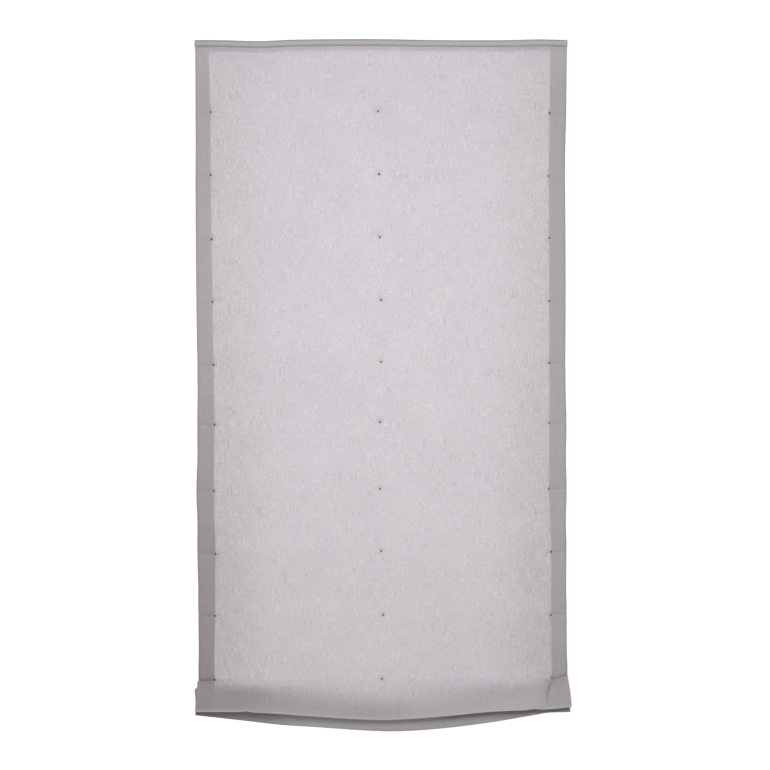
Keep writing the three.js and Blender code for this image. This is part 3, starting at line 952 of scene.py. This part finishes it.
class SHADE_OT_sewing(bpy.types.Operator):
    """Makes the tacks that hold the rings, and the hem and heading stitches"""

    bl_idname = "shade.sewing"
    bl_label = "Sewing"

    def execute(self, context):
        trim, looks = context.scene.shade_trim, context.scene.shade_cloth
        self.tacks(trim)
        self.hems(trim, looks)
        return {"FINISHED"}

    @staticmethod
    def tacks(trim):
        bm = bmesh.new()
        facing = Vector((0, -1, 0))
        for row in range(1, LAST + 1):
            for side in SIDES:
                x, drop = tack_at(side, row)
                lean = 0.25 * noise.noise(Vector((x, drop, 0.5)))
                along = Vector((lean, 0, 1))
                for k in (-1, 0, 1):
                    spot = to_space((x + k * TACK_SPREAD, CLOTH_Y + TUCK, drop - 0.4 * k))
                    stitch(bm, spot, along, facing, TACK_LENGTH * MM, TACK_THREAD * MM)
                low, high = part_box(f"ring_{side}_{row}")
                ring = (low + high) / 2
                rim = ring - Vector((0, 0, trim.ring_radius))
                for k in (-1, 1):
                    loop_at = rim + Vector((k * TACK_SPREAD * MM, 0, 0))
                    wire_ring(bm, loop_at, Vector((1, 0, 0)), LOOP_RADIUS * MM, LOOP_THREAD * MM,
                              steps=12, sides=6)
        tidy_faces(bm)
        # The tacks' dark thread colour is partly painted shade.
        thread = thread_material("Grey sewing thread", trim.tack_colour)
        piece = new_object("tack_threads", bm, [thread])
        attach(piece, "root")

    @staticmethod
    def hems(trim, looks):
        """Slanting hem stitches on the back, and a straight row along the heading's front."""
        surface = Surface(2, 8, looks.row_steps)
        bm = bmesh.new()
        for c in (2, len(surface.columns) - 3):
            points, facing = surface.points[c], surface.normal[c]
            walked = 0.0
            for r in range(6, surface.hem_row - 4):
                step = points[r + 1] - points[r]
                walked += step.length
                if walked < HEM_STITCH["pitch"] * MM:
                    continue
                walked = 0.0
                behind = points[r] - facing[r] * (looks.ply_pitch + looks.thickness)
                inward = Vector((-math.copysign(HEM_STITCH["slant"], points[r].x), 0, 0))
                stitch(bm, behind + inward * MM, step.normalized() + inward * 0.5, -facing[r],
                       HEM_STITCH["length"] * MM, HEM_STITCH["thread"] * MM)
        left = ROWS[0]["lines"][0]
        width = (ROWS[0]["lines"][4] - left) * MM
        seam_pitch = SEAM_STITCH["pitch"] * MM
        for i in range(int(width / seam_pitch)):
            x = left + i * seam_pitch / MM + 2
            drop = BINDING_FRONT - SEAM_STITCH["inset"] + across(DIPS, "drop", x)
            front = to_space((x, 0.6 - BINDING_DEPTH, drop))
            stitch(bm, front, Vector((1, 0, 0)), Vector((0, -1, 0)),
                   SEAM_STITCH["length"] * MM, SEAM_STITCH["thread"] * MM)
        tidy_faces(bm)
        thread = thread_material("Fine sewing thread", trim.hem_thread)
        piece = new_object("hem_stitches", bm, [thread])
        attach(piece, "root")


class SHADE_OT_stage(bpy.types.Operator):
    """Makes the floor, the soft light and the camera"""

    bl_idname = "shade.stage"
    bl_label = "Stage"

    def execute(self, context):
        stage = context.scene.shade_stage
        self.floor(stage)
        self.light(context.scene, stage)
        self.camera(context.scene, stage)
        return {"FINISHED"}

    @staticmethod
    def floor(stage):
        bm = bmesh.new()
        bmesh.ops.create_grid(bm, x_segments=1, y_segments=1, size=2.0,
                              matrix=Matrix.Translation((0, 0, -stage.floor_drop)))
        new_object("floor", bm, [floor_material(stage.floor_colour)])

    @staticmethod
    def light(scene, stage):
        """A pale room, brighter behind the shade, a soft light in front and a strip behind."""
        world = bpy.data.worlds.new("Pale room")
        world.use_nodes = True
        scene.world = world
        tree = world.node_tree
        tree.nodes.clear()
        way = add_node(tree, "TexCoord", {}).outputs["Generated"]
        parts = add_node(tree, "SeparateXYZ", {0: way})
        level = add_node(tree, "MapRange", {
            "Value": parts.outputs["Y"], "From Min": -0.45, "From Max": 0.1,
            "To Min": stage.before, "To Max": stage.behind})
        sky = add_node(tree, "Background", {"Color": (1, 1, 1, 1), "Strength": level})
        add_node(tree, "OutputWorld", {"Surface": sky})
        lamps = (
            ("Key light", (0.1, -2.2, -0.4), (0.5, 0.5), stage.key_power),
            ("Back light", (0.0, 0.6, -0.87), (0.3, 1.5), stage.back_power),
        )
        for name, place, size, power in lamps:
            lamp = bpy.data.lights.new(name, "AREA")
            lamp.shape = "RECTANGLE"
            lamp.size, lamp.size_y = size
            lamp.energy = power
            holder = bpy.data.objects.new(name, lamp)
            scene.collection.objects.link(holder)
            holder.location = place
            holder.rotation_euler = Vector((0, -place[1], 0)).to_track_quat("-Z", "Y").to_euler()
            holder.visible_camera = False
        scene.view_settings.view_transform = "Standard"

    @staticmethod
    def camera(scene, stage):
        """Level, half way down the shade. The picture is square."""
        width_at_shade, middle_x, middle_drop = 1.853, 0.0101, 0.8314
        lens = bpy.data.cameras.new("Level view")
        lens.sensor_width = 36
        lens.sensor_fit = "HORIZONTAL"
        lens.lens = lens.sensor_width * stage.distance / width_at_shade
        camera = bpy.data.objects.new("Level view", lens)
        camera.location = (middle_x, -stage.distance, -middle_drop)
        camera.rotation_euler = (math.radians(90), 0, 0)
        scene.collection.objects.link(camera)
        scene.camera = camera


class SHADE_PT_panel(bpy.types.Panel):
    """Lists the pieces of the shade and their sizes"""

    bl_idname = "SHADE_PT_panel"
    bl_label = "Roman Shade"
    bl_space_type = "VIEW_3D"
    bl_region_type = "UI"
    bl_category = "Roman Shade"

    def draw(self, context):
        for name, operators in PIECES.items():
            box = self.layout.box()
            group = getattr(context.scene, name)
            for key in type(group).__annotations__:
                box.prop(group, key)
            for operator in operators:
                box.operator(operator.bl_idname)


PIECES = {
    "shade_cloth": (SHADE_OT_cloth, SHADE_OT_heading),
    "shade_trim": (SHADE_OT_rings, SHADE_OT_sewing),
    "shade_stage": (SHADE_OT_stage,),
}
GROUPS = {"shade_cloth": ShadeCloth, "shade_trim": ShadeTrim, "shade_stage": ShadeStage}
CLASSES = (
    ShadeCloth, ShadeTrim, ShadeStage, SHADE_OT_cloth, SHADE_OT_heading, SHADE_OT_rings,
    SHADE_OT_sewing, SHADE_OT_stage, SHADE_PT_panel,
)


def register():
    for cls in CLASSES:
        bpy.utils.register_class(cls)
    for name, group in GROUPS.items():
        setattr(bpy.types.Scene, name, PointerProperty(type=group))


def unregister():
    for name in GROUPS:
        delattr(bpy.types.Scene, name)
    for cls in reversed(CLASSES):
        bpy.utils.unregister_class(cls)


def main():
    register()
    bpy.ops.shade.stage()
    bpy.ops.shade.heading()
    bpy.ops.shade.cloth()
    bpy.ops.shade.rings()
    bpy.ops.shade.sewing()


if __name__ == "__main__":
    main()
